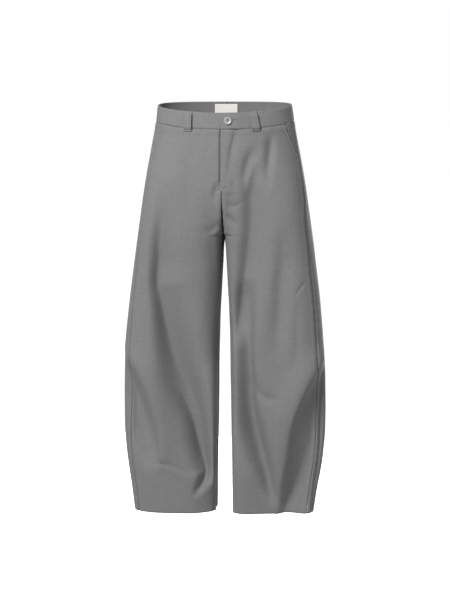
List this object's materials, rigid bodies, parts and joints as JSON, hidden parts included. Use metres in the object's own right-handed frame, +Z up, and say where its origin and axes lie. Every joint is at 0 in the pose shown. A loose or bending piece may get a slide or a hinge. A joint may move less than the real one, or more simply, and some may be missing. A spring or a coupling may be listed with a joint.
{
  "type": "barrel leg trousers",
  "caption": "Grey barrel leg trousers, filled out as worn: waistband with belt loops and a button, lapped fly, slanted pockets and legs that swell at the knee and narrow to open hems.",
  "frame": {"origin": "centre of the waistband, half way up it at the side seams, where the wearer holds the trousers up", "axes": "+Z up, -Y out of the front, +X towards the wearer's left"},
  "size_m": [0.5085, 0.2341, 1.029],
  "materials": {
    "cloth": "matt grey melange suiting, plain weave",
    "pocket_facing": "the same cloth, in the shade of the pocket mouth",
    "button": "satin grey resin",
    "label": "bare off-white woven tape"
  },
  "bodies": {
    "root": {"front_right": "cloth", "front_left": "cloth", "back_right": "cloth", "back_left": "cloth", "pocket_facing_right": "pocket_facing", "pocket_facing_left": "pocket_facing", "waistband_right": "cloth", "waistband_left": "cloth", "belt_loop_front_right": "cloth", "belt_loop_front_left": "cloth", "belt_loop_back_right": "cloth", "belt_loop_back_left": "cloth", "belt_loop_centre_back": "cloth", "label": "label", "button": "button"}
  },
  "joints": []
}
